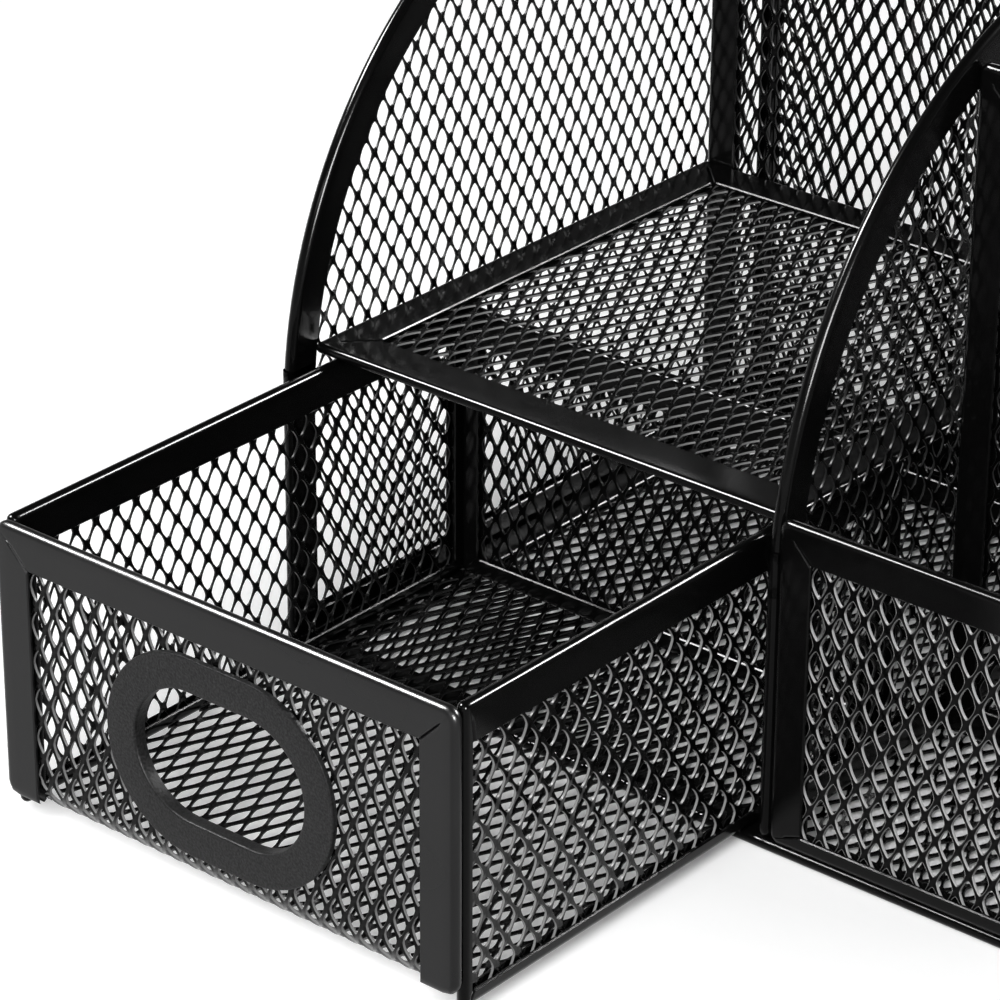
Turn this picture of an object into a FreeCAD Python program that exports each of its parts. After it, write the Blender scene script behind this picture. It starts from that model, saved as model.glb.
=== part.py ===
import FreeCAD, Part
import os
import re
import Sketcher
from FreeCAD import Placement, Rotation, Vector

# Desk organizer of expanded-steel mesh with a pull-out drawer, in millimetres.
# +X is to the right, +Y to the back, +Z up. The origin is on the desk, under the
# middle of the case. The drawer stands pulled out by drawer_out.

SIZES = {
    "drawer_width": 100.0,
    "drawer_height": 54.8,
    "drawer_depth": 118.0,
    "drawer_out": 74.9,
    "drawer_lift": 0.3,
    "side_gap": 2.4,
    "bay_depth": 119.5,
    "rear_slot": 17.0,
    "case_height": 138.0,
    "nose_radius": 90.0,
    "base_thick": 2.2,
    "channel": 2.4,
    "strip": 6.6,
    "fold": 0.6,
    "fit_gap": 0.3,
    "sheet": 1.0,
    "cell_width": 28.0,
    "cell_height": 52.0,
    "strand": 2.6,
    "shelf_level": 60.2,
    "shelf_setback": 6.2,
    "shelf_thick": 2.0,
    "lip_width": 8.6,
    "shelf_strip": 8.3,
    "box_height": 63.0,
    "box_foot": 3.1,
    "pen_wall_setback": 50.6,
    "pen_wall_top": 127.0,
    "partition_top": 104.0,
    "drawer_strip": 7.4,
    "front_leg_lift": 3.0,
    "rim_strip": 4.0,
    "corner_strip": 2.0,
    "front_round": 1.5,
    "bend_radius": 8.0,
    "handle_width": 50.0,
    "handle_height": 37.0,
    "handle_rim": 6.5,
    "handle_plate": 1.0,
    "handle_level": 25.8,
    "handle_lip": 0.9,
    "handle_lip_depth": 1.4,
}

# Sizes that follow from the ones above.
DERIVED = {
    "bay_width": "drawer_width + 2 * side_gap",
    "inner_width": "2 * bay_width + channel",
    "case_width": "inner_width + 2 * channel",
    "case_depth": "bay_depth + rear_slot + 2 * channel",
    "fold_gap": "fold + fit_gap",
    "sheet_level": "(channel - sheet) / 2",
    "left_x": "-case_width / 2",
    "bay_x": "left_x + channel",
    "centre_x": "bay_x + bay_width",
    "right_bay_x": "centre_x + channel",
    "right_x": "right_bay_x + bay_width",
    "front_y": "-case_depth / 2",
    "back_y": "front_y + bay_depth",
    "pen_wall_y": "front_y + pen_wall_setback",
    "pen_depth": "bay_depth - pen_wall_setback - channel",
    "partition_x": "right_bay_x + (bay_width - channel) / 2",
    "shelf_y": "front_y + shelf_setback",
    "shelf_depth": "bay_depth - shelf_setback",
    "shelf_z": "shelf_level - shelf_thick",
    "shelf_sheet_z": "shelf_z + (shelf_thick - sheet) / 2",
    "drawer_x": "bay_x + side_gap",
    "drawer_y": "front_y - drawer_out",
    "drawer_z": "base_thick + drawer_lift",
    "drawer_side_depth": "drawer_depth - channel",
    "drawer_back_width": "drawer_width - 2 * channel",
    "sheet_front": "sheet_level + sheet",
    "floor_y": "drawer_y + channel - sheet_front + bend_radius",
    "floor_depth": "drawer_depth - 2 * channel + sheet_front - bend_radius",
    "handle_x": "(drawer_width - handle_width) / 2",
    "handle_z": "handle_level - handle_height / 2",
    "hole_half_width": "cell_width / 2 - strand / 2",
    "hole_half_height": "hole_half_width * cell_height / cell_width",
}

FLAT = Rotation()
FACING_FRONT = Rotation(Vector(1, 0, 0), Vector(0, 0, 1), Vector(0, -1, 0), "XYZ")
FACING_SIDE = Rotation(Vector(0, 1, 0), Vector(0, 0, 1), Vector(1, 0, 0), "XYZ")

doc = FreeCAD.newDocument("pen_stand_with_drawer")
sheet = doc.addObject("Spreadsheet::Sheet", "Sizes")
for row, (alias, size) in enumerate(SIZES.items(), start=1):
    sheet.set(f"A{row}", alias)
    sheet.set(f"B{row}", str(size))
    sheet.setAlias(f"B{row}", alias)
doc.recompute()

parts = []


def formula(text):
    """Write a formula in plain size names as an expression on the sheet."""
    def swap(match):
        word = match.group(0)
        if word in DERIVED:
            return f"({formula(DERIVED[word])})"
        return f"Sizes.{word}" if word in SIZES else word
    return re.sub(r"[a-z][a-z_]+", swap, str(text))


def number(text):
    """The value of a formula in millimetres."""
    return float(sheet.evalExpression(formula(text)))


def new_body(label, turn, x, y, z):
    """An empty body whose local origin stands at (x, y, z)."""
    body = doc.addObject("PartDesign::Body", label)
    body.Placement = Placement(Vector(), turn)
    for axis, text in (("x", x), ("y", y), ("z", z)):
        body.setExpression(f"Placement.Base.{axis}", formula(text))
    parts.append(body)
    return body


def new_sketch(body, name, role="XY_Plane", raised="0", shift=("0", "0")):
    """A sketch on one of the body's own planes, raised along its normal."""
    sketch = body.newObject("Sketcher::SketchObject", name)
    plane = next(f for f in body.Origin.OriginFeatures if f.Role == role)
    sketch.AttachmentSupport = [(plane, "")]
    sketch.MapMode = "FlatFace"
    for axis, text in (("x", shift[0]), ("y", shift[1]), ("z", raised)):
        sketch.setExpression(f"AttachmentOffset.Base.{axis}", formula(text))
    return sketch


def draw(sketch, corners, arcs=()):
    """Draw a closed outline through corners given as formulas.

    arcs maps the index of a corner to the arc that leaves it: its centre, the one
    coordinate of that centre that the sketch has to hold, and True if it turns left.
    """
    arcs = dict(arcs)
    points = [Vector(number(u), number(v), 0) for u, v in corners]
    first = sketch.GeometryCount
    count = len(corners)
    ends = []
    for index, start in enumerate(points):
        end = points[(index + 1) % count]
        leaves, arrives = 1, 2
        if index in arcs:
            (u, v), _, turns_left = arcs[index]
            centre = Vector(number(u), number(v), 0)
            circle = Part.Circle(centre, Vector(0, 0, 1), (start - centre).Length)
            if not turns_left:
                start, end = end, start
                leaves, arrives = 2, 1
            edge = Part.ArcOfCircle(circle, circle.parameter(start), circle.parameter(end))
        else:
            edge = Part.LineSegment(start, end)
        sketch.addGeometry(edge, False)
        ends.append((first + index, leaves, arrives))
    rules = []
    formulas = {}

    def hold(geometry, point, kind, text):
        formulas[len(rules)] = formula(text)
        rules.append(Sketcher.Constraint(kind, -1, 1, geometry, point, number(text)))

    for index, (u, v) in enumerate(corners):
        here, leaves, arrives = ends[index]
        following, next_leaves, _ = ends[(index + 1) % count]
        rules.append(Sketcher.Constraint("Coincident", here, arrives, following, next_leaves))
        hold(here, leaves, "DistanceX", u)
        hold(here, leaves, "DistanceY", v)
        if index in arcs:
            (u, v), held, _ = arcs[index]
            hold(here, 3, held, u if held == "DistanceX" else v)
    base = sketch.ConstraintCount
    sketch.addConstraint(rules)
    for index, text in formulas.items():
        sketch.setExpression(f"Constraints[{base + index}]", text)


def pad(body, name, sketch, length):
    feature = body.newObject("PartDesign::Pad", name)
    feature.Profile = sketch
    feature.setExpression("Length", formula(length))
    return feature


def pocket(body, name, sketch, length):
    """Cut upward from the sketch."""
    feature = body.newObject("PartDesign::Pocket", name)
    feature.Profile = sketch
    feature.Reversed = True
    feature.setExpression("Length", formula(length))
    return feature


def rectangle(width, height, left="0", bottom="0", right="0", top="0"):
    """The corners of a width by height rectangle, drawn in by four margins."""
    x0, x1 = left, f"{width} - ({right})"
    y0, y1 = bottom, f"{height} - ({top})"
    return [(x0, y0), (x1, y0), (x1, y1), (x0, y1)], {}


def side_outline(depth, height, margin="0", back=None):
    """A side wall: upright front edge, quarter-round nose and level top."""
    back_edge = f"{depth} - ({back or margin})"
    corners = [
        (margin, margin),
        (back_edge, margin),
        (back_edge, f"{height} - ({margin})"),
        ("nose_radius", f"{height} - ({margin})"),
        (margin, f"{height} - nose_radius"),
    ]
    centre = ("nose_radius", f"{height} - nose_radius")
    return corners, {3: (centre, "DistanceX", True)}


def stadium(width, height, level_x, level_z, margin="0"):
    """A slot shape with round ends, drawn in all round by a margin."""
    left = f"{level_x} + {height} / 2"
    right = f"{level_x} + {width} - {height} / 2"
    low = f"{level_z} + ({margin})"
    high = f"{level_z} + {height} - ({margin})"
    middle = f"{level_z} + {height} / 2"
    corners = [(left, low), (right, low), (right, high), (left, high)]
    return corners, {
        1: ((right, middle), "DistanceX", True),
        3: ((left, middle), "DistanceX", True),
    }


def arch(width, height, foot, left, right, top):
    """An upside-down U whose two legs end at the level of foot."""
    corners = [
        ("0", foot),
        (left, foot),
        (left, f"{height} - ({top})"),
        (f"{width} - ({right})", f"{height} - ({top})"),
        (f"{width} - ({right})", foot),
        (width, foot),
        (width, height),
        ("0", height),
    ]
    return corners, {}


def cut_lattice(body, width, height, level):
    """Cut the staggered diamond openings of expanded metal right through a sheet."""
    half_cell = ("-cell_width / 2", "-cell_height / 2")
    for name, shift in (("even", half_cell), ("odd", ("0", "0"))):
        sketch = new_sketch(body, f"{body.Label}_{name}_diamond", raised=level, shift=shift)
        draw(sketch, [
            ("cell_width / 2 - hole_half_width", "cell_height / 2"),
            ("cell_width / 2", "cell_height / 2 - hole_half_height"),
            ("cell_width / 2 + hole_half_width", "cell_height / 2"),
            ("cell_width / 2", "cell_height / 2 + hole_half_height"),
        ])
        cut = pocket(body, f"{body.Label}_{name}_opening", sketch, "sheet")
        rows = body.newObject("PartDesign::LinearPattern", f"{body.Label}_{name}_openings")
        rows.Originals = [cut]
        rows.Direction = (sketch, ["H_Axis"])
        rows.Mode = "Spacing"
        rows.setExpression("Offset", formula("cell_width"))
        rows.setExpression("Occurrences", formula(f"ceil({width} / cell_width) + 1"))
        rows.Direction2 = (sketch, ["V_Axis"])
        rows.Mode2 = "Spacing"
        rows.setExpression("Offset2", formula("cell_height"))
        rows.setExpression("Occurrences2", formula(f"ceil({height} / cell_height) + 1"))
        body.Tip = rows


def mesh_wall(label, turn, place, outline, window, size, level="sheet_level"):
    """A sheet of expanded metal with the plain edge that its channel grips."""
    body = new_body(label, turn, *place)
    plate = new_sketch(body, f"{label}_plate", raised=level)
    draw(plate, *outline)
    pad(body, f"{label}_sheet", plate, "sheet")
    cut_lattice(body, size[0], size[1], level)
    edge = new_sketch(body, f"{label}_edge", raised=level)
    draw(edge, *outline)
    draw(edge, *window)
    pad(body, f"{label}_margin", edge, "sheet")
    return body


def channel_frame(label, turn, place, rings, seat, thick="channel"):
    """A frame of folded steel strip with the slot that grips the sheet's edge."""
    body = new_body(label, turn, *place)
    strip = new_sketch(body, f"{label}_strip")
    for ring in rings:
        draw(strip, *ring)
    pad(body, f"{label}_channel", strip, thick)
    slot = new_sketch(body, f"{label}_slot", raised=f"({thick} - sheet) / 2")
    draw(slot, *seat)
    pocket(body, f"{label}_grip", slot, "sheet")
    return body


def framed_wall(label, turn, place, width, height, margins, thick="channel"):
    """A rectangular mesh wall in its own channel frame."""
    outline = rectangle(width, height)
    window = rectangle(width, height, *margins)
    seat = rectangle(width, height, *["fold"] * 4)
    edge = rectangle(width, height, *["fold_gap"] * 4)
    channel_frame(f"{label}_frame", turn, place, [outline, window], seat, thick)
    mesh_wall(f"{label}_mesh", turn, place, edge, window, (width, height),
              f"({thick} - sheet) / 2")


def side_wall(label, x, z, depth, height, back_strip):
    """A quarter-round side wall in its channel frame."""
    place = (x, "front_y", z)
    outline = side_outline(depth, height)
    window = side_outline(depth, height, "strip", back_strip)
    channel_frame(f"{label}_frame", FACING_SIDE, place, [outline, window],
                  side_outline(depth, height, "fold"))
    mesh_wall(f"{label}_mesh", FACING_SIDE, place, side_outline(depth, height, "fold_gap"),
              window, (depth, height))


def case():
    """The fixed walls and the floor."""
    side_wall("left_side", "left_x", "0", "case_depth", "case_height", "corner_strip")
    side_wall("right_side", "right_x", "0", "case_depth", "case_height", "corner_strip")
    side_wall("centre_side", "centre_x", "base_thick", "bay_depth",
              "(case_height - base_thick)", "strip")
    all_round = ["strip"] * 4
    framed_wall("base", FLAT, ("bay_x", "front_y", "0"), "inner_width", "case_depth",
                all_round, "base_thick")
    wall_height = "(case_height - base_thick)"
    framed_wall("inner_back", FACING_FRONT, ("bay_x", "back_y + channel", "base_thick"),
                "inner_width", wall_height, all_round)
    framed_wall("rear_wall", FACING_FRONT, ("bay_x", "front_y + case_depth", "base_thick"),
                "inner_width", wall_height, ["corner_strip", "strip"] * 2)
    framed_wall("pen_wall", FACING_FRONT, ("right_bay_x", "pen_wall_y + channel", "base_thick"),
                "bay_width", "(pen_wall_top - base_thick)", all_round)
    framed_wall("pen_partition", FACING_SIDE,
                ("partition_x", "pen_wall_y + channel", "base_thick"),
                "pen_depth", "(partition_top - base_thick)", all_round)
    framed_wall("front_box", FACING_FRONT, ("right_bay_x", "front_y + channel", "base_thick"),
                "bay_width", "(box_height - base_thick)",
                ["strip", "box_foot", "strip", "strip"])


def shelf():
    """The mesh shelf over the drawer, gripped on its four sides by folded strips."""
    level = "shelf_z"
    side_length = "shelf_depth - lip_width"
    folded_strip("shelf_front_lip", FACING_SIDE, ("bay_x", "shelf_y", level),
                 "lip_width", "bay_width", False)
    folded_strip("shelf_back_flange", FACING_SIDE,
                 ("bay_x + shelf_strip", "back_y - shelf_strip", level),
                 "shelf_strip", "bay_width - 2 * shelf_strip", True)
    folded_strip("shelf_left_flange", FACING_FRONT, ("bay_x", "back_y", level),
                 "shelf_strip", side_length, False)
    folded_strip("shelf_right_flange", FACING_FRONT,
                 ("centre_x - shelf_strip", "back_y", level),
                 "shelf_strip", side_length, True)
    inset = "(fold + shelf_thick / 2 + fit_gap)"
    width, depth = f"(bay_width - 2 * {inset})", f"(shelf_depth - 2 * {inset})"
    side = f"shelf_strip - {inset}"
    mesh_wall("shelf_mesh", FLAT, (f"bay_x + {inset}", f"shelf_y + {inset}", "shelf_sheet_z"),
              rectangle(width, depth),
              rectangle(width, depth, side, f"lip_width - {inset}", side, side),
              (width, depth), "0")


def folded_strip(label, turn, place, width, length, mirrored):
    """A strip folded over a sheet's edge, with a round fold and a slot for the sheet."""
    nose = "shelf_thick / 2"
    outline = [
        (nose, "0"),
        (width, "0"),
        (width, "(shelf_thick - sheet) / 2"),
        ("fold + " + nose, "(shelf_thick - sheet) / 2"),
        ("fold + " + nose, "(shelf_thick + sheet) / 2"),
        (width, "(shelf_thick + sheet) / 2"),
        (width, "shelf_thick"),
        (nose, "shelf_thick"),
    ]
    centre_u = nose
    if mirrored:
        outline = [(f"{width} - ({u})", v) for u, v in outline]
        centre_u = f"{width} - {nose}"
    body = new_body(label, turn, *place)
    profile = new_sketch(body, f"{label}_profile")
    draw(profile, outline, {7: ((centre_u, nose), "DistanceX", not mirrored)})
    pad(body, f"{label}_strip", profile, length)


def drawer():
    """The drawer: front, two sides and back in channel frames, on a mesh floor."""
    drawer_front()
    side_margins = ["corner_strip", "rim_strip", "drawer_strip", "drawer_strip"]
    for label, x in (("drawer_left", "drawer_x"),
                     ("drawer_right", "drawer_x + drawer_width - channel")):
        framed_wall(label, FACING_SIDE, (x, "drawer_y + channel", "drawer_z"),
                    "drawer_side_depth", "drawer_height", side_margins)
    framed_wall("drawer_back", FACING_FRONT,
                ("drawer_x + channel", "drawer_y + drawer_depth", "drawer_z"),
                "drawer_back_width", "drawer_height",
                ["rim_strip", "rim_strip", "rim_strip", "drawer_strip"])
    mesh_wall("drawer_floor_mesh", FLAT, ("drawer_x + channel", "floor_y", "drawer_z"),
              rectangle("drawer_back_width", "floor_depth"),
              rectangle("drawer_back_width", "floor_depth", *["strand"] * 4),
              ("drawer_back_width", "floor_depth"), "0")


def drawer_front():
    """The drawer's front: arch of strip, bent mesh sheet and the finger ring."""
    place = ("drawer_x", "drawer_y + channel", "drawer_z")
    width, height = "drawer_width", "drawer_height"
    strips = ["drawer_strip"] * 3
    frame = channel_frame("drawer_front_frame", FACING_FRONT, place,
                          [arch(width, height, "front_leg_lift", *strips)],
                          rectangle(width, height, "fold", "0", "fold", "fold"))
    doc.recompute()
    side_edges = []
    for index, edge in enumerate(frame.Tip.Shape.Edges, start=1):
        middle = edge.BoundBox.Center
        upright = edge.BoundBox.YLength > number("drawer_height / 2")
        outer = min(middle.x, number(width) - middle.x) < number("fold / 2")
        if upright and outer and middle.z > number("channel - fold / 2"):
            side_edges.append(f"Edge{index}")
    slotted = frame.Tip
    rounding = frame.newObject("PartDesign::Fillet", "drawer_front_frame_corners")
    rounding.Base = (slotted, side_edges)
    rounding.setExpression("Radius", formula("front_round"))

    window = rectangle(width, height, "drawer_strip", "bend_radius + strand",
                       "drawer_strip", "drawer_strip")
    mesh = mesh_wall("drawer_front_mesh", FACING_FRONT, place,
                     rectangle(width, height, "fold_gap", "bend_radius", "fold_gap", "fold_gap"),
                     window, (width, height))
    bend_start = "drawer_strip + fit_gap"
    bend = new_sketch(mesh, "drawer_front_mesh_bend_profile", "YZ_Plane", bend_start,
                      shift=("0", "sheet_front - bend_radius"))
    draw(bend, [
        ("bend_radius", "bend_radius"),
        ("bend_radius", "bend_radius - sheet"),
        ("sheet", "0"),
        ("0", "0"),
    ], {
        1: (("bend_radius", "0"), "DistanceX", True),
        3: (("bend_radius", "0"), "DistanceX", False),
    })
    pad(mesh, "drawer_front_mesh_bend", bend, f"drawer_width - 2 * ({bend_start})")
    ring = ("handle_width", "handle_height", "handle_x", "handle_z")
    hole = stadium(*ring, "handle_rim - handle_lip - fit_gap")
    slot = new_sketch(mesh, "drawer_front_mesh_slot_outline", raised="sheet_level")
    draw(slot, *hole)
    pocket(mesh, "drawer_front_mesh_slot", slot, "sheet")
    backing = new_sketch(mesh, "drawer_front_mesh_slot_edge_outline", raised="sheet_level")
    draw(backing, *stadium(*ring, "fold_gap"))
    draw(backing, *hole)
    pad(mesh, "drawer_front_mesh_slot_edge", backing, "sheet")

    handle = new_body("drawer_handle_ring", FACING_FRONT, *place)
    face = new_sketch(handle, "drawer_handle_ring_face", raised="sheet_front")
    draw(face, *stadium(*ring))
    draw(face, *stadium(*ring, "handle_rim"))
    pad(handle, "drawer_handle_ring_plate", face, "handle_plate")
    lip = new_sketch(handle, "drawer_handle_ring_lip_outline",
                     raised="sheet_front - handle_lip_depth")
    draw(lip, *stadium(*ring, "handle_rim - handle_lip"))
    draw(lip, *stadium(*ring, "handle_rim"))
    pad(handle, "drawer_handle_ring_lip", lip, "handle_lip_depth")


def check_and_export():
    """Stop on any failed feature, then write each part to its own file."""
    doc.recompute()
    for item in doc.Objects:
        if "Invalid" in item.State or "Error" in item.State:
            raise RuntimeError(f"{item.Label} failed: {item.State}")
    for body in parts:
        shape = body.Shape
        if shape.isNull() or not shape.isValid() or not shape.Solids:
            raise RuntimeError(f"{body.Label} has no valid solid")
    os.makedirs("parts", exist_ok=True)
    for body in parts:
        body.Shape.exportStep(f"parts/{body.Label}.step")


case()
shelf()
drawer()
check_and_export()
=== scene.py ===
import bpy
import math
import numpy as np
from mathutils import Matrix, Vector


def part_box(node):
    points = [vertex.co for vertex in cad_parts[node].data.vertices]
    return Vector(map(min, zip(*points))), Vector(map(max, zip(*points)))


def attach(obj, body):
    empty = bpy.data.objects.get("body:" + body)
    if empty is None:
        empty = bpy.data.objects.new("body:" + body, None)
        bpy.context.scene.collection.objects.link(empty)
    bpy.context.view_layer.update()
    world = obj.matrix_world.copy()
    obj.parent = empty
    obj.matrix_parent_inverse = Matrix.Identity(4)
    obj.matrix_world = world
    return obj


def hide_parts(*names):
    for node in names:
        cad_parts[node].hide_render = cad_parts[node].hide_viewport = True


# Pen stand of black expanded steel, with a drawer. Pieces are drawn in millimetres in
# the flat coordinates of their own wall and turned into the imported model's frame.

MM = 0.001
TINY = 1e-9
SHARP_ANGLE = math.radians(32)

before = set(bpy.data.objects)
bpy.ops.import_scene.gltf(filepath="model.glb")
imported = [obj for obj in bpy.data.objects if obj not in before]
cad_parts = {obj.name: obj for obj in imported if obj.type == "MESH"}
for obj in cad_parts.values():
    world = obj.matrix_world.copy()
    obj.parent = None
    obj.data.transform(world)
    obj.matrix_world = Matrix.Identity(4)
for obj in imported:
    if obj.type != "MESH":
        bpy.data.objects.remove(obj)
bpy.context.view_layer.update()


# ---------------------------------------------------------------- placing

# The part's axes that u, v and w of a wall lie along.
AXES = {"front": [0, 2, 1], "side": [1, 2, 0], "flat": [0, 1, 2]}


class Wall:
    """The flat coordinates of a wall: u across, v up, w through it, from its nodes' boxes.

    In a front wall w runs from its back to its face, against the part's y.
    """

    def __init__(self, nodes, turn):
        boxes = np.array([[list(corner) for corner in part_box(node)] for node in nodes]) / MM
        self.turn = turn
        self.low, self.high = boxes[:, 0].min(0), boxes[:, 1].max(0)
        self.width, self.height, self.thick = (self.high - self.low)[AXES[turn]]

    def turned(self, uvw):
        """Directions in the wall's coordinates, as the part's."""
        u, v, w = np.asarray(uvw, float).T
        return np.stack({"front": (u, -w, v), "side": (w, u, v), "flat": (u, v, w)}[self.turn], 1)

    def points(self, uvw):
        """Points in the wall's coordinates, as the part's."""
        start = self.low.copy()
        if self.turn == "front":
            start[1] = self.high[1]
        return start + self.turned(uvw)


def add_piece(name, points, faces, body, material, nodes, normals=None, cut=None):
    """A mesh object from points in millimetres and faces of any number of corners.

    cut is up to 1 at the points of cut edges and of painted bands beside them, and 0 elsewhere.
    The material shows these paler, partly as thin dull paint and partly as painted highlight.
    """
    mesh = bpy.data.meshes.new(name)
    points = np.asarray(points, np.float32) * MM
    loops = np.concatenate([np.asarray(face) for face in faces])
    sizes = np.array([len(face) for face in faces])
    mesh.vertices.add(len(points))
    mesh.vertices.foreach_set("co", points.reshape(-1))
    mesh.loops.add(len(loops))
    mesh.loops.foreach_set("vertex_index", loops.astype(np.int32))
    mesh.polygons.add(len(sizes))
    starts = np.concatenate([[0], np.cumsum(sizes)[:-1]])
    mesh.polygons.foreach_set("loop_start", starts.astype(np.int32))
    mesh.polygons.foreach_set("loop_total", sizes.astype(np.int32))
    mesh.polygons.foreach_set("use_smooth", np.ones(len(sizes), bool))
    mesh.update(calc_edges=True)
    if cut is not None:
        mesh.attributes.new("cut", "FLOAT", "POINT").data.foreach_set("value", cut)
    mesh.materials.append(material)
    piece = bpy.data.objects.new(name, mesh)
    bpy.context.scene.collection.objects.link(piece)
    if normals is None:
        mesh.set_sharp_from_angle(angle=SHARP_ANGLE)
        weighted = piece.modifiers.new("flat_faces", "WEIGHTED_NORMAL")
        weighted.keep_sharp = True
    else:
        mesh.normals_split_custom_set_from_vertices(normals.tolist())
    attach(piece, body)
    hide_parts(*nodes)
    return piece


# ---------------------------------------------------------------- points and faces

# same_points gives each cell of a fine grid a whole number of its own. KEY_SHIFT keeps the
# steps along each axis above zero, and KEY_BASE is more than there are of them.
KEYS_PER_MM = 500
KEY_SHIFT = 200000
KEY_BASE = 1000003


def same_points(points):
    """For points within two microns of each other: the first of each, and where each went."""
    keys = np.round(points * KEYS_PER_MM).astype(np.int64) + KEY_SHIFT
    keys = (keys[:, 0] * KEY_BASE + keys[:, 1]) * KEY_BASE + keys[:, 2]
    _, first, where = np.unique(keys, return_index=True, return_inverse=True)
    return first, where.reshape(-1)


def ring_quads(rings, count, closed=False):
    """Quads from each ring of count points to the next, and where closed back to the first."""
    quads = []
    for r in range(rings if closed else rings - 1):
        n = (r + 1) % rings
        for i in range(count):
            j = (i + 1) % count
            quads.append([r * count + i, n * count + i, n * count + j, r * count + j])
    return quads


# ---------------------------------------------------------------- expanded metal

# An opening is a diamond with bulged sides: a BULGE of 1 leaves them straight, and 2 makes
# an ellipse. Between openings run strands, one edge of which rises by LEAN and the other
# drops by as much, and the knuckles where strands meet lie flat. An edge leans fully from
# LEAN_FROM_MIDDLE beside its opening's middle, and STRAND_WIDTH sets how steep a strand is.
BULGE = 1.38
BEVEL = 0.08
LEAN = 0.08
LEAN_FROM_MIDDLE = 0.5
STRAND_WIDTH = 0.44
STOUT_SHEET = {"sheet": 0.54, "open_share": (0.342, 0.364)}

# A sheet with a highlight band is painted pale beside each edge as a painted highlight,
# and its edges at the upper left and lower right of an opening are painted darker as shade.
PAINTED_HIGHLIGHT_BAND = 0.1
BAND_HIGHLIGHT = 0.7
PAINTED_SHADE_EDGE = 0.35


def ring_of(quarter):
    """All of a ring, clockwise from its top, from the points of its first quarter."""
    right = quarter + [(u, -v) for u, v in quarter[-2::-1]]
    left = [(-u, v) for u, v in right[-2:0:-1]]
    return np.array(right + left, float)


def opening(cell, both_sides, steps, sheet, open_share, highlight_band):
    """One opening and the half strands round it: points, normals, faces and how cut each
    point is, which sets its paler edge paint, partly a painted highlight.
    """
    half_cell = np.array(cell) / 2
    half_open = np.array(cell) * np.array(open_share)
    turns = [math.pi / 2 * i / steps for i in range(steps + 1)]
    power = 2 / BULGE
    hole = ring_of([(math.sin(t) ** power, max(math.cos(t), 0) ** power) for t in turns])
    middle = ring_of([(half_cell[0] * i / steps, half_cell[1] * (1 - i / steps))
                      for i in range(steps + 1)])
    signs = np.sign(np.round(hole, 6))
    crossing = signs[:, 0] * signs[:, 1]
    out = signs * np.abs(hole) ** (BULGE - 1) / half_open
    out /= np.linalg.norm(out, axis=1)[:, None]
    hole = hole * half_open

    count = len(hole)
    zero = np.zeros(count)
    strand = np.abs(crossing)
    across = half_cell[::-1] / math.hypot(*half_cell)
    slope = LEAN / STRAND_WIDTH
    face = np.column_stack([slope * across[0] * strand, slope * across[1] * crossing,
                            np.ones(count)])
    face /= np.linalg.norm(face, axis=1)[:, None]
    under = face * np.array([1, 1, -1])
    inward = np.column_stack([-out, zero])

    half = sheet / 2
    level = LEAN * np.clip(hole[:, 0] / LEAN_FROM_MIDDLE, -1, 1)
    # Cut edges are painted paler, partly as highlight. On a sheet with a highlight band, those at
    # the upper left and lower right are painted darker as shade.
    edge_light = np.where((highlight_band > 0) & (crossing < 0), PAINTED_SHADE_EDGE, 1.0)
    rings = [(middle, zero + half, face, zero)]
    # A ring beside each edge carries the painted highlight band.
    if highlight_band:
        rings += [(hole + (BEVEL + highlight_band) * out, level + half, face, zero)]
    rings += [(hole + BEVEL * out, level + half, face, BAND_HIGHLIGHT * edge_light if highlight_band else zero),
              (hole, level + half - BEVEL, inward, edge_light)]
    if both_sides:
        rings += [(hole, level - half + BEVEL, inward, edge_light),
                  (hole + BEVEL * out, level - half, under, zero)]
    else:
        rings += [(hole, level - half, inward, edge_light)]
    rings += [(middle, zero - half, under, zero)]
    uv, w, normals, cut = (np.concatenate(each) for each in zip(*rings))
    # The first corner of a quad decides which way it is split into triangles.
    faces = np.roll(ring_quads(len(rings), count), -1, axis=1)
    return np.column_stack([uv, w]), normals, faces, cut


def expanded(size, low, hold, cell, phase, both_sides=True, steps=3,
             sheet=0.45, open_share=(0.342, 0.388), highlight_band=0):
    """A sheet of staggered openings from low to size, cut off by hold(), which pulls points
    inside.

    cell is the repeat of the openings, phase the centre of one of them, open_share half an
    opening's size as a share of its cell, sheet the thickness, and highlight_band the width of
    the band beside an edge that is painted pale as a highlight. both_sides bevels the underside's
    edges too.
    """
    points, normals, faces, cut = opening(cell, both_sides, steps, sheet, open_share, highlight_band)
    centres = []
    for shift in (0, 0.5):
        columns, rows = (np.arange(math.floor((low[k] - phase[k]) / cell[k]) - 1,
                                   math.ceil((size[k] - phase[k]) / cell[k]) + 2) + shift
                         for k in (0, 1))
        grid = np.stack(np.meshgrid(columns * cell[0], rows * cell[1]), -1) + phase
        centres.append(grid.reshape(-1, 2))
    centres = np.concatenate(centres)
    count = len(points)
    every = np.tile(points, (len(centres), 1))
    every[:, :2] += np.repeat(centres, count, axis=0)
    turned = np.tile(normals, (len(centres), 1))
    quads = np.concatenate([faces + k * count for k in range(len(centres))])
    first, where = same_points(every)
    cut = np.tile(cut, len(centres))[first]
    every, turned, quads = every[first], turned[first], where[quads]
    held = hold(every[:, :2].copy())
    free = (np.abs(held - every[:, :2]) < TINY).all(1)
    every[:, :2] = held
    quads = quads[free[quads].any(1)]
    used = np.unique(quads)
    index = np.zeros(len(every), np.int64)
    index[used] = np.arange(len(used))
    return every[used], turned[used], index[quads], cut[used]


def inside_rectangle(wall, left, right, bottom, top):
    """Pulls points into a wall's rectangle, less a margin on each side."""
    low, high = (left, bottom), (wall.width - right, wall.height - top)
    return lambda uv: np.clip(uv, low, high)


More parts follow.
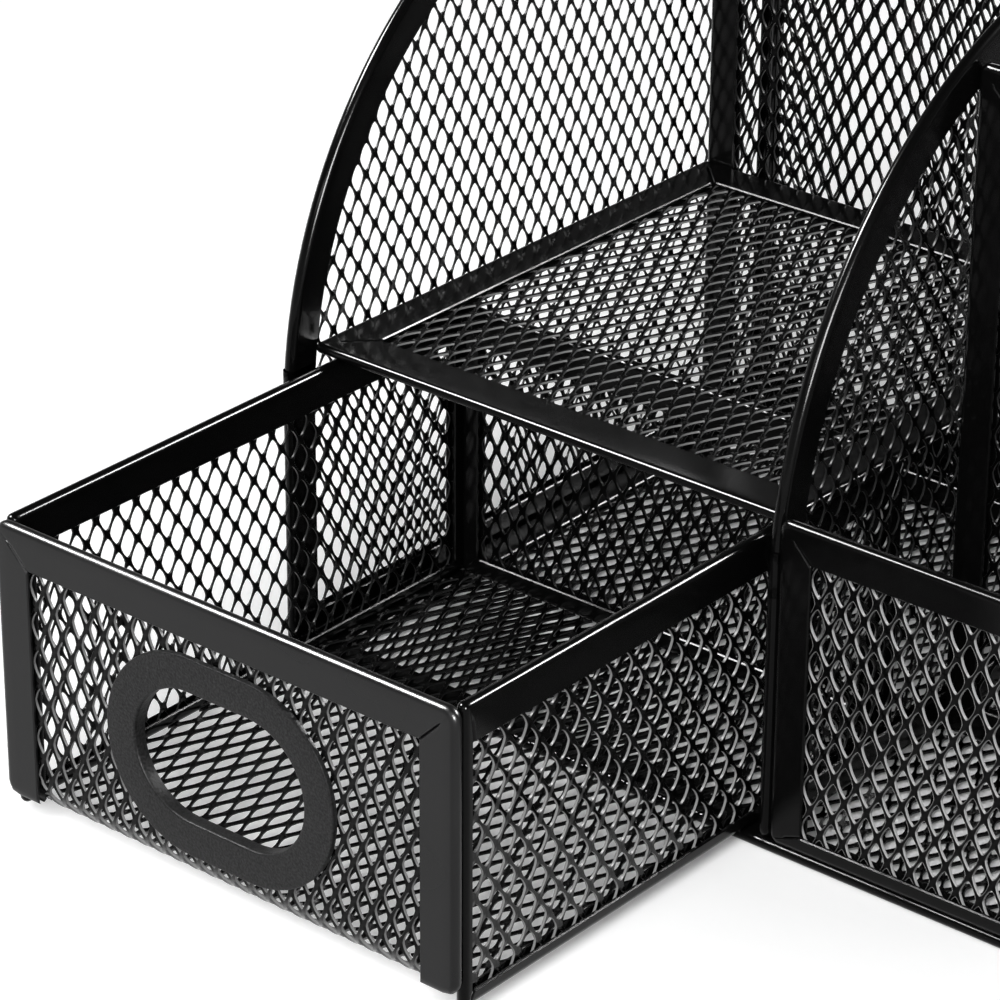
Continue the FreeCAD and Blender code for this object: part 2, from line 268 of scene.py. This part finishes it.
def inside_side(wall, radius, margin, back):
    """Pulls points into a side wall: a rectangle with a quarter-round front top corner."""
    centre = np.array([radius, wall.height - radius])

    def hold(uv):
        uv = np.clip(uv, margin, (wall.width - back, wall.height - margin))
        away = uv - centre
        corner = (away[:, 0] < 0) & (away[:, 1] > 0)
        reach = np.linalg.norm(away, axis=1)
        far = corner & (reach > radius - margin)
        uv[far] = centre + away[far] * ((radius - margin) / reach[far])[:, None]
        return uv
    return hold


def mesh_panel(node, wall, hold, body="case", cell=(4.2, 7.0), at=None, flip=False,
               material=None, **kind):
    """Puts an expanded sheet at the level of its node, in a wall's flat coordinates.

    at is where one opening's centre lies in the part, along the wall's u and v, and flip
    turns the sheet's bevelled side to the wall's back.
    """
    across, up, through = AXES[wall.turn]
    middle = np.array([wall.width / 2, wall.height / 2])
    phase = np.array(at) - wall.low[[across, up]] if at else middle
    points, normals, faces, cut = expanded((wall.width, wall.height), (0, 0), hold, cell,
                                           phase, **kind)
    if flip:
        points[:, 2] *= -1
        normals[:, 2] *= -1
        faces = faces[:, ::-1]
    own = Wall([node], wall.turn)
    centre = ((own.low + own.high) / 2)[through]
    level = wall.high[through] - centre if wall.turn == "front" else centre - wall.low[through]
    points[:, 2] += level
    return add_piece(f"{node.removesuffix('_mesh')}_expanded_mesh", wall.points(points), faces,
                     body, material or strand_black, [node], wall.turned(normals),
                     cut)


# ---------------------------------------------------------------- folded strips

# A strip is a channel: two legs as thick as FOLD, closed by a rounded outer edge as deep as
# FOLD_END.
FOLD = 0.6
FOLD_END = FOLD + 0.3
FOLD_STEPS = 8
STRIP_BEVEL = 0.2

# Where a strip wider than WIDE is mitred, a groove shows from GROOVE_FROM inwards. A point
# within SLACK of that limit is left whole. Every mitre runs at 45 degrees as deep as the
# rounded edge and ROUND_SLACK more, and from there to the inner corner.
WIDE = 5
GROOVE_FROM = 3.0
GROOVE_WIDTH = 0.5
SLACK = 0.01
ROUND_SLACK = 0.05

# How far along a strip from its end, and how deep its faces are tucked in there.
MITRE = [(0, 0.5), (0.16, 0.2), (0.5, 0), (0.8, 0), (1.4, 0), (2.1, 0), (3.0, 0), (4.0, 0)]
ROUND_END = [(0, 0.85), (0.12, 0.5), (0.4, 0.2), (0.9, 0.05), (1.5, 0), (2.4, 0)]


def channel_profile(width, thick):
    """Round the folded strip: depth in from the outer edge, and level through the wall."""
    r = thick / 2
    groove = [GROOVE_FROM, GROOVE_FROM + GROOVE_WIDTH] if width > WIDE else []
    points = [(width, thick - FOLD), (width, thick - STRIP_BEVEL), (width - STRIP_BEVEL, thick)]
    points += [(depth, thick) for depth in reversed(groove)]
    turns = [math.pi * i / FOLD_STEPS for i in range(FOLD_STEPS + 1)]
    points += [(r - r * math.sin(t), r + r * math.cos(t)) for t in turns]
    points += [(depth, 0) for depth in groove]
    points += [(width - STRIP_BEVEL, 0), (width, STRIP_BEVEL), (width, FOLD)]
    points += [(FOLD_END, FOLD), (FOLD_END, thick - FOLD)]
    return np.array(points)


def mitre_shift(depth, own, other, thick):
    """How far along a strip its mitred end lies at each depth, where widths may differ."""
    if other == 0:
        return np.zeros(len(depth))
    square = thick / 2 + ROUND_SLACK
    past = np.maximum(depth - square, 0)
    return np.minimum(depth, square) + past * (other - square) / (own - square)


def sweep(stations, profile, thick, caps):
    """Points and faces of a strip through stations, each with its outer point, the way in,
    the way along, the width of the strip it is mitred to, and a tuck.

    A tuck sinks the strip's faces, but near the outer edge of a mitre they stay whole. caps
    says whether its first and its last end are closed.
    """
    count = len(profile)
    own = profile[:, 0].max()
    whole_to = GROOVE_FROM if own > WIDE else thick / 2
    rings = []
    for outer, inward, along, other, tuck in stations:
        sink = np.where((profile[:, 0] < whole_to + SLACK) & (other > 0), 0, tuck)
        depth = np.maximum(profile[:, 0], sink)
        level = np.clip(profile[:, 1], sink, thick - sink)
        shift = mitre_shift(depth, own, other, thick)
        uv = np.array(outer) + depth[:, None] * np.array(inward) + shift[:, None] * np.array(along)
        rings.append(np.column_stack([uv, level]))
    faces = ring_quads(len(rings), count)
    last = (len(rings) - 1) * count
    if caps[0]:
        faces.append(list(range(count)))
    if caps[1]:
        faces.append([last + i for i in range(count)][::-1])
    return np.concatenate(rings), faces


def straight(start, end, inward, width, others, thick):
    """A straight strip, mitred to strips of the other widths, or rounded off where 0."""
    start, end = (np.array(p, float) for p in (start, end))
    along = (end - start) / np.linalg.norm(end - start)
    first, last = (MITRE if other else ROUND_END for other in others)
    stations = [(start + along * s, inward, along, others[0], tuck) for s, tuck in first]
    stations += [(end - along * s, inward, -along, others[1], tuck) for s, tuck in reversed(last)]
    return sweep(stations, channel_profile(width, thick), thick,
                 [other != width for other in others])


def joined(strips):
    """Several strips as one mesh, with the points that they share made one."""
    points, faces, base = [], [], 0
    for strip_points, strip_faces in strips:
        points.append(strip_points)
        faces += [[i + base for i in face] for face in strip_faces]
        base += len(strip_points)
    points = np.concatenate(points)
    first, where = same_points(points)
    whole = []
    for face in faces:
        face = [int(where[i]) for i in face]
        face = [i for k, i in enumerate(face) if i != face[k - 1]]
        if len(set(face)) > 2:
            whole.append(face)
    return points[first], whole


def round_corners(points, corners, radius):
    """Presses square outer corners round. corners gives each with its inward signs."""
    for corner, inward in corners:
        past = radius - (points[:, :2] - np.array(corner)) * np.array(inward)
        near = (past > 0).all(1)
        length = np.maximum(np.linalg.norm(past[near], axis=1), TINY)
        pressed = past[near] * (past[near].max(1) / length)[:, None]
        points[near, :2] = np.array(corner) + (radius - pressed) * np.array(inward)
    return points


def folded_frame(name, nodes, turn, strips, body="case", radius=2.0, material=None):
    """A frame of four mitred strips, or of three with free ends below where bottom is 0."""
    wall = Wall(nodes, turn)
    width, height, thick = wall.width, wall.height, wall.thick
    left, right, bottom, top = strips
    parts = [
        straight((0, height), (0, 0), (1, 0), left, (top, bottom), thick),
        straight((width, 0), (width, height), (-1, 0), right, (bottom, top), thick),
        straight((width, height), (0, height), (0, -1), top, (right, left), thick),
    ]
    if bottom:
        parts.append(straight((0, 0), (width, 0), (0, 1), bottom, (left, right), thick))
    points, faces = joined(parts)
    corners = [((0, height), (1, -1)), ((width, height), (-1, -1)),
               ((0, 0), (1, 1)), ((width, 0), (-1, 1))]
    points = round_corners(points, corners, radius)
    add_piece(name, wall.points(points), faces, body, material or frame_black, nodes)
    return wall


NOSE_STEPS = 40
SIDE_CORNER = 1.8


def side_frame(node, radius, strip, back, tip, post_top):
    """A side wall's frame: the rim over top and nose, the front post, foot and back strips.

    back is the width of the back strip. tip is how high above the wall's foot the rim ends,
    and post_top how high the post does.
    """
    wall = Wall([node], "side")
    width, height, thick = wall.width, wall.height, wall.thick
    rim = [((width - s, height), (0, -1), (-1, 0), back, tuck) for s, tuck in MITRE]
    for i in range(NOSE_STEPS + 1):
        turn = math.pi / 2 * i / NOSE_STEPS
        out = np.array([-math.sin(turn), math.cos(turn)])
        rim.append((np.array([radius, height - radius]) + out * radius, -out, (0, 0), 0, 0))
    rim += [((0, tip + s), (1, 0), (0, 0), 0, tuck) for s, tuck in reversed(ROUND_END)]
    parts = [
        sweep(rim, channel_profile(strip, thick), thick, (back != strip, True)),
        straight((0, post_top), (0, 0), (1, 0), strip, (0, strip), thick),
        straight((0, 0), (width, 0), (0, 1), strip, (strip, back), thick),
        straight((width, 0), (width, height), (-1, 0), back, (strip, strip), thick),
    ]
    points, faces = joined(parts)
    corners = [((0, 0), (1, 1)), ((width, 0), (-1, 1)), ((width, height), (-1, -1))]
    points = round_corners(points, corners, SIDE_CORNER)
    add_piece(f"{node.removesuffix('_frame')}_folded_frame", wall.points(points), faces, "case",
              frame_black, [node])
    return wall


# ---------------------------------------------------------------- materials

# How large the orange peel and the patches of gloss are, by what share the gloss varies, the
# range of the noises that counts, and how much rougher a cut edge is.
PEEL_SIZE = 2.2
GLOSS_SIZE = 24
GLOSS_VARIES = 0.15
NOISE_LOW = 0.3
NOISE_HIGH = 0.7
EDGE_DULLNESS = 0.2


def noise(tree, place, size, detail=2):
    """Noise with grains of a size in millimetres, which stays with the piece."""
    grains = tree.nodes.new("ShaderNodeTexNoise")
    grains.inputs["Scale"].default_value = 1 / (size * MM)
    grains.inputs["Detail"].default_value = detail
    tree.links.new(place.outputs["Object"], grains.inputs["Vector"])
    return grains.outputs["Fac"]


def cut_edge_highlight(tree, edge, shade, dullness):
    """Turns a shade to the grey of cut edges, partly thin paint and partly painted highlight, and
    a roughness duller, where cut says.
    """
    nodes, links = tree.nodes, tree.links
    cut = nodes.new("ShaderNodeAttribute")
    cut.attribute_name = "cut"
    thin = nodes.new("ShaderNodeMix")
    thin.data_type = "RGBA"
    links.new(cut.outputs["Fac"], thin.inputs["Factor"])
    links.new(shade, thin.inputs["A"])
    thin.inputs["B"].default_value = (edge, edge, edge, 1)
    dull = nodes.new("ShaderNodeMath")
    dull.operation = "MULTIPLY_ADD"
    links.new(cut.outputs["Fac"], dull.inputs[0])
    dull.inputs[1].default_value = EDGE_DULLNESS
    links.new(dullness, dull.inputs[2])
    return thin.outputs["Result"], dull.outputs[0]


def paint(name, colour, roughness, specular, facing, grain, grain_size, mottle=0.15, edge=None,
          relief=0.05):
    """Baked black paint: a little orange peel, fine grain and uneven gloss.

    facing is how much of its shine is left where it faces the eye, and edge the grey of
    cut edges, partly for paint that is thin and dull there and partly as painted highlight.
    """
    material = bpy.data.materials.new(name)
    material.use_nodes = True
    tree = material.node_tree
    nodes, links = tree.nodes, tree.links
    shader = nodes["Principled BSDF"]
    shader.inputs["Specular IOR Level"].default_value = specular
    shader.inputs["Specular Tint"].default_value = (facing, facing, facing, 1)
    place = nodes.new("ShaderNodeTexCoord")
    fine = noise(tree, place, grain_size, detail=3)
    peel = noise(tree, place, PEEL_SIZE)
    broad = noise(tree, place, GLOSS_SIZE)
    tone = nodes.new("ShaderNodeValToRGB")
    dark, light = tone.color_ramp.elements
    dark.position, light.position = NOISE_LOW, NOISE_HIGH
    dark.color = (*[c * (1 - mottle) for c in colour], 1)
    light.color = (*[c * (1 + mottle) for c in colour], 1)
    links.new(fine, tone.inputs["Fac"])
    gloss = nodes.new("ShaderNodeMapRange")
    gloss.inputs["From Min"].default_value = NOISE_LOW
    gloss.inputs["From Max"].default_value = NOISE_HIGH
    gloss.inputs["To Min"].default_value = roughness * (1 - GLOSS_VARIES)
    gloss.inputs["To Max"].default_value = roughness * (1 + GLOSS_VARIES)
    links.new(broad, gloss.inputs["Value"])
    shade, dullness = tone.outputs["Color"], gloss.outputs["Result"]
    if edge is not None:
        shade, dullness = cut_edge_highlight(tree, edge, shade, dullness)
    links.new(shade, shader.inputs["Base Color"])
    links.new(dullness, shader.inputs["Roughness"])
    height = nodes.new("ShaderNodeMix")
    height.inputs["Factor"].default_value = 0.5
    links.new(fine, height.inputs["A"])
    links.new(peel, height.inputs["B"])
    bump = nodes.new("ShaderNodeBump")
    bump.inputs["Strength"].default_value = grain
    bump.inputs["Distance"].default_value = relief * MM
    links.new(height.outputs["Result"], bump.inputs["Height"])
    links.new(bump.outputs["Normal"], shader.inputs["Normal"])
    return material


STRAND = {"colour": (0.001, 0.001, 0.001), "roughness": 0.13, "specular": 0.25, "facing": 0.12,
          "grain": 0.1, "grain_size": 0.25}
# Three copies of the strand paint differ only at cut edges. The first has thin dull paint there.
# The two lit copies carry a painted highlight there, which is stronger on the last.
strand_black = paint("strand_black", edge=0.012, **STRAND)
strand_edge_highlight = paint("strand_edge_highlight", edge=0.2, **STRAND)
strand_bright_edge_highlight = paint("strand_bright_edge_highlight", edge=0.38, **STRAND)
frame_black = paint("frame_black", (0.0015, 0.0015, 0.0015), roughness=0.16, specular=0.2,
                    facing=0.3, grain=0.12, grain_size=0.22)
front_black = paint("front_black", (0.0025, 0.0025, 0.0027), roughness=0.3, specular=0.27,
                    facing=0.68, grain=0.25, grain_size=0.25)
handle_grey = paint("handle_grey", (0.008, 0.008, 0.0082), roughness=0.4, specular=0.2,
                    facing=0.45, grain=1.0, grain_size=0.45, mottle=0.95, relief=0.12)

# ---------------------------------------------------------------- case

# The widths of a frame's strips are given as left, right, bottom and top.
STRIP = 6.6
THIN_STRIP = 2.0
ALL_ROUND = (STRIP,) * 4
SHELF_STRIPS = (8.3, 8.3, 8.6, 8.3)
FRONT_BOX_FOOT = 3.1
SMALL_CORNER = 1.2

# A strip covers HIDDEN of its sheet's edge, and a sheet ends at least MARGIN inside its wall.
HIDDEN = 2.4
MARGIN = 0.9

# The radius of the side walls' nose, and how high in the part its rim and the post end.
NOSE = 90.0
RIM_TIP = 53.9
POST_TOP = 51.0

# The repeat of a sheet's openings, and where one of them lies in the part, by the photograph.
OUTER_SIDE = {"cell": (4.55, 6.75), "at": (8.1, 100.6)}
CENTRE_SIDE = {"cell": (4.85, 6.7), "at": (-26.6, 75.8)}


def inside_strips(wall, strips):
    """A sheet that ends inside the folds of its strips, out of sight."""
    return inside_rectangle(wall, *[max(MARGIN, strip - HIDDEN) for strip in strips])


for side, back, kind in (("left_side", THIN_STRIP, OUTER_SIDE),
                         ("right_side", THIN_STRIP, OUTER_SIDE),
                         ("centre_side", STRIP, CENTRE_SIDE)):
    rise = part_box(f"{side}_frame")[0].z / MM
    wall = side_frame(f"{side}_frame", NOSE, STRIP, back, RIM_TIP - rise, POST_TOP - rise)
    mesh_panel(f"{side}_mesh", wall, inside_side(wall, NOSE, STRIP - HIDDEN, MARGIN),
               steps=4, **kind)

for label, turn, strips, kind in (
        ("base", "flat", ALL_ROUND, {"both_sides": False}),
        ("inner_back", "front", ALL_ROUND,
         {"both_sides": False, "cell": (3.8, 6.7), "at": (-60.7, 95.7)}),
        ("rear_wall", "front", (THIN_STRIP, THIN_STRIP, STRIP, STRIP),
         {"both_sides": False, "flip": True}),
        ("pen_wall", "front", ALL_ROUND, {}),
        ("pen_partition", "side", ALL_ROUND, {}),
        # The front box's sheet has the brightest painted edge highlight and a painted highlight
        # band.
        ("front_box", "front", (STRIP, STRIP, FRONT_BOX_FOOT, STRIP),
         {"steps": 6, "cell": (4.57, 7.75), "at": (22.7, 53.45), "material": strand_bright_edge_highlight,
          "highlight_band": PAINTED_HIGHLIGHT_BAND, **STOUT_SHEET})):
    wall = folded_frame(f"{label}_folded_frame", [f"{label}_frame"], turn, strips)
    mesh_panel(f"{label}_mesh", wall, inside_strips(wall, strips), **kind)

shelf_nodes = ["shelf_front_lip", "shelf_left_flange", "shelf_right_flange", "shelf_back_flange"]
wall = folded_frame("shelf_folded_frame", shelf_nodes, "flat", SHELF_STRIPS, radius=SMALL_CORNER)
# The shelf's sheet carries a painted highlight on its cut edges.
mesh_panel("shelf_mesh", wall, inside_strips(wall, SHELF_STRIPS), cell=(3.93, 7.6),
           at=(-50.8, -38.7), steps=4, material=strand_edge_highlight)

# ---------------------------------------------------------------- drawer

FRONT_STRIPS = (7.4, 7.4, 0, 7.4)
FRONT_CORNER = 2.6
SIDE_STRIPS = (2.0, 4.0, 2.6, 7.2)
BACK_STRIPS = (4.0, 4.0, 4.0, 7.2)

folded_frame("drawer_front_folded_frame", ["drawer_front_frame"], "front", FRONT_STRIPS,
             "drawer", FRONT_CORNER, front_black)
for label, turn, strips, kind in (
        ("drawer_left", "side", SIDE_STRIPS,
         {"cell": (4.85, 7.0), "at": (-115.9, 27.6), "steps": 4}),
        # The drawer's right sheet carries a painted highlight on its cut edges.
        ("drawer_right", "side", SIDE_STRIPS,
         {"cell": (5.25, 7.4), "at": (-105.4, 28.5), "steps": 6, "material": strand_edge_highlight,
          **STOUT_SHEET}),
        ("drawer_back", "front", BACK_STRIPS, {})):
    wall = folded_frame(f"{label}_folded_frame", [f"{label}_frame"], turn, strips, "drawer",
                        SMALL_CORNER)
    mesh_panel(f"{label}_mesh", wall, inside_strips(wall, strips), "drawer", **kind)
wall = Wall(["drawer_floor_mesh"], "flat")
mesh_panel("drawer_floor_mesh", wall, inside_rectangle(wall, 0, 0, 0, 0), "drawer",
           cell=(4.0, 7.9), at=(-46.9, -115.3))

# The front's sheet: its bend under the foot, on the outside and at mid thickness, its depth
# in the front's wall, and how far in from the wall's outline it ends.
BEND = 8.0
SHEET_HALF = 0.5
MID_BEND = BEND - SHEET_HALF
SHEET_LEVEL = 1.2
SHEET_INSET = 5.0
BEND_INSET = 7.5
FRONT_CELL = (3.87, 7.2)
FRONT_AT = (-19.8, 28.9)

# The ring round the finger slot. Its level is how high its middle is above the drawer's
# underside, and its edges are eased by points so far from the edge and below the face.
RING = {"width": 50.0, "height": 37.0, "rim": 6.5, "level": 25.8}
RING_THICK = 1.0
RING_LIP = 0.9
RING_STEPS = 28
OUTER_EASE = [(0, 0.35), (0.1, 0.12), (0.35, 0)]
INNER_EASE = [(0.55, 0), (0.2, 0.14), (0, 0.5)]
SLOT_CLEARANCE = 0.6


def drawer_front_wall():
    """The drawer front's flat coordinates: its frame's plane, from the drawer's underside up."""
    wall = Wall(["drawer_front_frame"], "front")
    lift = wall.low[2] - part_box("drawer_front_mesh")[0].z / MM
    wall.low[2] -= lift
    wall.height += lift
    return wall


def front_sheet():
    """The drawer front's sheet, which bends under at its foot and has the finger slot."""
    wall = drawer_front_wall()
    run = math.pi / 2 * MID_BEND
    half = RING["height"] / 2 - RING["rim"] + SLOT_CLEARANCE
    reach = RING["width"] / 2 - RING["height"] / 2

    def hold(uv):
        inset = np.where(uv[:, 1] < BEND, BEND_INSET, SHEET_INSET)
        u = np.clip(uv[:, 0], inset, wall.width - inset)
        v = np.clip(uv[:, 1], BEND - run, wall.height - SHEET_INSET)
        along = u - wall.width / 2
        axis = np.clip(along, -reach, reach)
        off = np.column_stack([along - axis, v - RING["level"]])
        gap = np.linalg.norm(off, axis=1)
        pushed = (gap < half) & (gap > TINY)
        scale = half / gap[pushed]
        u[pushed] = wall.width / 2 + axis[pushed] + off[pushed, 0] * scale
        v[pushed] = RING["level"] + off[pushed, 1] * scale
        return np.column_stack([u, v])

    phase = (FRONT_AT[0] - wall.low[0], FRONT_AT[1] - wall.low[2])
    points, normals, faces, cut = expanded((wall.width, wall.height), (0, BEND - run), hold,
                                           FRONT_CELL, phase, steps=6, **STOUT_SHEET)
    u, s, w = points.T
    turn = np.clip((BEND - s) / MID_BEND, 0, math.pi / 2)
    radius = MID_BEND + w
    v = np.where(s < BEND, BEND - radius * np.sin(turn), s)
    depth = np.where(s < BEND, SHEET_LEVEL - MID_BEND + radius * np.cos(turn), SHEET_LEVEL + w)
    nu, nv, nw = normals.T
    bent_v = nv * np.cos(turn) - nw * np.sin(turn)
    bent_w = nw * np.cos(turn) + nv * np.sin(turn)
    # The drawer front's sheet carries a painted highlight on its cut edges.
    return add_piece("drawer_front_expanded_mesh", wall.points(np.column_stack([u, v, depth])),
                     faces, "drawer", strand_edge_highlight, ["drawer_front_mesh"],
                     wall.turned(np.column_stack([nu, bent_v, bent_w])), cut)


def finger_ring():
    """The pressed ring round the finger slot: a flat plate with eased edges and an inner lip."""
    wall = drawer_front_wall()
    low, high = (np.array(corner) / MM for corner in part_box("drawer_handle_ring"))
    back = wall.high[1] - high[1]
    face = wall.high[1] - low[1]
    plate = face - RING_THICK
    rim = RING["rim"]
    profile = [(0, plate)]
    profile += [(inward, face - down) for inward, down in OUTER_EASE]
    profile += [(rim - outward, face - down) for outward, down in INNER_EASE]
    profile += [(rim, back), (rim - RING_LIP, back), (rim - RING_LIP, plate)]
    profile = np.array(profile)
    half = RING["height"] / 2
    reach = RING["width"] / 2 - half
    rings = []
    for side in (1, -1):
        centre = np.array([wall.width / 2 + side * reach, RING["level"]])
        for i in range(RING_STEPS + 1):
            turn = math.pi * i / RING_STEPS - math.pi / 2
            out = np.array([math.cos(turn), math.sin(turn)]) * side
            uv = centre + out * half - profile[:, :1] * out
            rings.append(np.column_stack([uv, profile[:, 1]]))
    faces = ring_quads(len(rings), len(profile), closed=True)
    return add_piece("drawer_finger_ring", wall.points(np.concatenate(rings)), faces, "drawer",
                     handle_grey, ["drawer_handle_ring"])


front_sheet()
finger_ring()

# ---------------------------------------------------------------- stage, light, camera

FLOOR_HALF = 3.0
FLOOR_WHITE = (0.9, 0.9, 0.9, 1)
FLOOR_ROUGHNESS = 0.9
OBJECT_MIDDLE = Vector((0, -0.02, 0.05))
EDGE_LAMP_FROM = 0.9

# Distances from the floor's middle, with how strongly the floor glows there. The glow is low near
# the middle as painted shade round and under the object, and higher further out.
FLOOR_GLOW_AND_PAINTED_SHADE = [(0.08, 0.02), (0.15, 0.3), (1.2, 0.3), (2.4, 0.85)]

# The photograph's view. Angles are in degrees, and the lens is in pixels of its width.
HEADING = 39.91
LOOKING_DOWN = 26.59
ROLL = 0.31
LENS_PIXELS = 4436.4
PHOTO_PIXELS = 1000
SENSOR_WIDTH = 36
CAMERA_AT = Vector((0.3774, -0.59075, 0.3866))
CLIP_START = 0.01


def seen_ray(nodes, links):
    """1 for rays that show the stage, straight, mirrored or let through, and 0 for the rest."""
    ray = nodes.new("ShaderNodeLightPath")
    value = ray.outputs["Is Camera Ray"]
    for name in ("Is Glossy Ray", "Is Transmission Ray"):
        either = nodes.new("ShaderNodeMath")
        either.operation = "MAXIMUM"
        links.new(value, either.inputs[0])
        links.new(ray.outputs[name], either.inputs[1])
        value = either.outputs[0]
    return value


def white_floor():
    """A white floor, which glows for the camera and in reflections as FLOOR_GLOW_AND_PAINTED_SHADE
    says, dimmed near the object as painted shade.
    """
    bpy.ops.mesh.primitive_plane_add(size=2 * FLOOR_HALF)
    floor = bpy.context.object
    floor.name = "floor"
    white = bpy.data.materials.new("floor_white")
    white.use_nodes = True
    nodes, links = white.node_tree.nodes, white.node_tree.links
    diffuse = nodes["Principled BSDF"]
    diffuse.inputs["Base Color"].default_value = FLOOR_WHITE
    diffuse.inputs["Roughness"].default_value = FLOOR_ROUGHNESS
    diffuse.inputs["Specular IOR Level"].default_value = 0
    place = nodes.new("ShaderNodeTexCoord")
    away = nodes.new("ShaderNodeVectorMath")
    away.operation = "LENGTH"
    links.new(place.outputs["Object"], away.inputs[0])
    level = nodes.new("ShaderNodeValToRGB")
    stops = level.color_ramp.elements
    # The dimmer glow near the object is painted shade.
    for i, (distance, strength) in enumerate(FLOOR_GLOW_AND_PAINTED_SHADE):
        stop = stops[0] if i == 0 else stops.new(distance / FLOOR_HALF)
        stop.position = distance / FLOOR_HALF
        stop.color = (strength, strength, strength, 1)
    # The last stop is the one that every new ramp has at its end.
    stops.remove(stops[-1])
    scaled = nodes.new("ShaderNodeMath")
    scaled.operation = "DIVIDE"
    scaled.inputs[1].default_value = FLOOR_HALF
    links.new(away.outputs["Value"], scaled.inputs[0])
    links.new(scaled.outputs[0], level.inputs["Fac"])
    share = nodes.new("ShaderNodeMath")
    share.operation = "MULTIPLY"
    links.new(level.outputs["Color"], share.inputs[1])
    links.new(seen_ray(nodes, links), share.inputs[0])
    glow = nodes.new("ShaderNodeEmission")
    links.new(share.outputs[0], glow.inputs["Strength"])
    both = nodes.new("ShaderNodeAddShader")
    links.new(diffuse.outputs[0], both.inputs[0])
    links.new(glow.outputs[0], both.inputs[1])
    links.new(both.outputs[0], nodes["Material Output"].inputs["Surface"])
    floor.data.materials.append(white)


def studio_world(strength):
    """A background that looks white and lights the object with a strength of its own."""
    world = bpy.data.worlds.new("studio")
    bpy.context.scene.world = world
    world.use_nodes = True
    nodes, links = world.node_tree.nodes, world.node_tree.links
    sky = nodes["Background"]
    sky.inputs["Color"].default_value = (1, 1, 1, 1)
    level = nodes.new("ShaderNodeMapRange")
    level.inputs["To Min"].default_value = strength
    level.inputs["To Max"].default_value = 1
    links.new(seen_ray(nodes, links), level.inputs["Value"])
    links.new(level.outputs["Result"], sky.inputs["Strength"])


def dark_ceiling(height, size, strength):
    """The dim upper part of the studio, which the black paint mirrors."""
    bpy.ops.mesh.primitive_plane_add(size=size, location=(0, 0, height))
    ceiling = bpy.context.object
    ceiling.name = "ceiling"
    dark = bpy.data.materials.new("ceiling_dark")
    dark.use_nodes = True
    nodes, links = dark.node_tree.nodes, dark.node_tree.links
    glow = nodes.new("ShaderNodeEmission")
    glow.inputs["Strength"].default_value = strength
    links.new(glow.outputs[0], nodes["Material Output"].inputs["Surface"])
    ceiling.data.materials.append(dark)
    ceiling.visible_camera = False
    ceiling.visible_diffuse = False
    ceiling.visible_shadow = False


def softbox(name, direction, distance, size, radiance, diffuse=True):
    """An area lamp that looks at the object from a direction, as bright as its radiance."""
    lamp = bpy.data.lights.new(name, "AREA")
    lamp.shape = "RECTANGLE"
    lamp.size, lamp.size_y = size
    lamp.energy = radiance * math.pi * size[0] * size[1]
    thing = bpy.data.objects.new(name, lamp)
    bpy.context.scene.collection.objects.link(thing)
    way = Vector(direction).normalized()
    thing.location = way * distance + OBJECT_MIDDLE
    thing.rotation_euler = way.to_track_quat("Z", "Y").to_euler()
    thing.visible_diffuse = diffuse


def edge_lamp(name, direction, size, radiance):
    """A small bright lamp that shows only as glints, mostly along the frames' edges."""
    softbox(name, direction, EDGE_LAMP_FROM, size, radiance, diffuse=False)


def camera():
    """The photograph's view, by its heading, downward look, roll and lens."""
    heading, down, roll = (math.radians(angle) for angle in (HEADING, LOOKING_DOWN, ROLL))
    back = Vector((math.sin(heading) * math.cos(down), -math.cos(heading) * math.cos(down),
                   math.sin(down)))
    right = (-back).cross(Vector((0, 0, 1))).normalized()
    up = right.cross(-back)
    tilted_right = math.cos(roll) * right + math.sin(roll) * up
    tilted_up = math.cos(roll) * up - math.sin(roll) * right
    data = bpy.data.cameras.new("camera")
    data.sensor_width = SENSOR_WIDTH
    data.sensor_fit = "HORIZONTAL"
    data.lens = LENS_PIXELS / PHOTO_PIXELS * SENSOR_WIDTH
    data.clip_start = CLIP_START
    view = bpy.data.objects.new("camera", data)
    bpy.context.scene.collection.objects.link(view)
    turn = Matrix((tilted_right, tilted_up, back)).transposed().to_4x4()
    view.matrix_world = Matrix.Translation(CAMERA_AT) @ turn
    bpy.context.scene.camera = view


white_floor()
studio_world(strength=0.26)
dark_ceiling(height=1.0, size=9.0, strength=0.1)
softbox("key_front", (0.25, -0.75, 0.6), distance=2.2, size=(1.28, 1.28), radiance=13)
edge_lamp("edge_front_left", (-0.573, -0.448, 0.686), size=(0.3, 0.22), radiance=250)
edge_lamp("edge_back_right", (0.448, 0.686, 0.573), size=(0.3, 0.22), radiance=250)
edge_lamp("edge_near_camera", (0.74, -0.6, 0.33), size=(0.3, 0.3), radiance=150)
camera()
bpy.context.scene.view_settings.view_transform = "Standard"

bpy.context.view_layer.update()
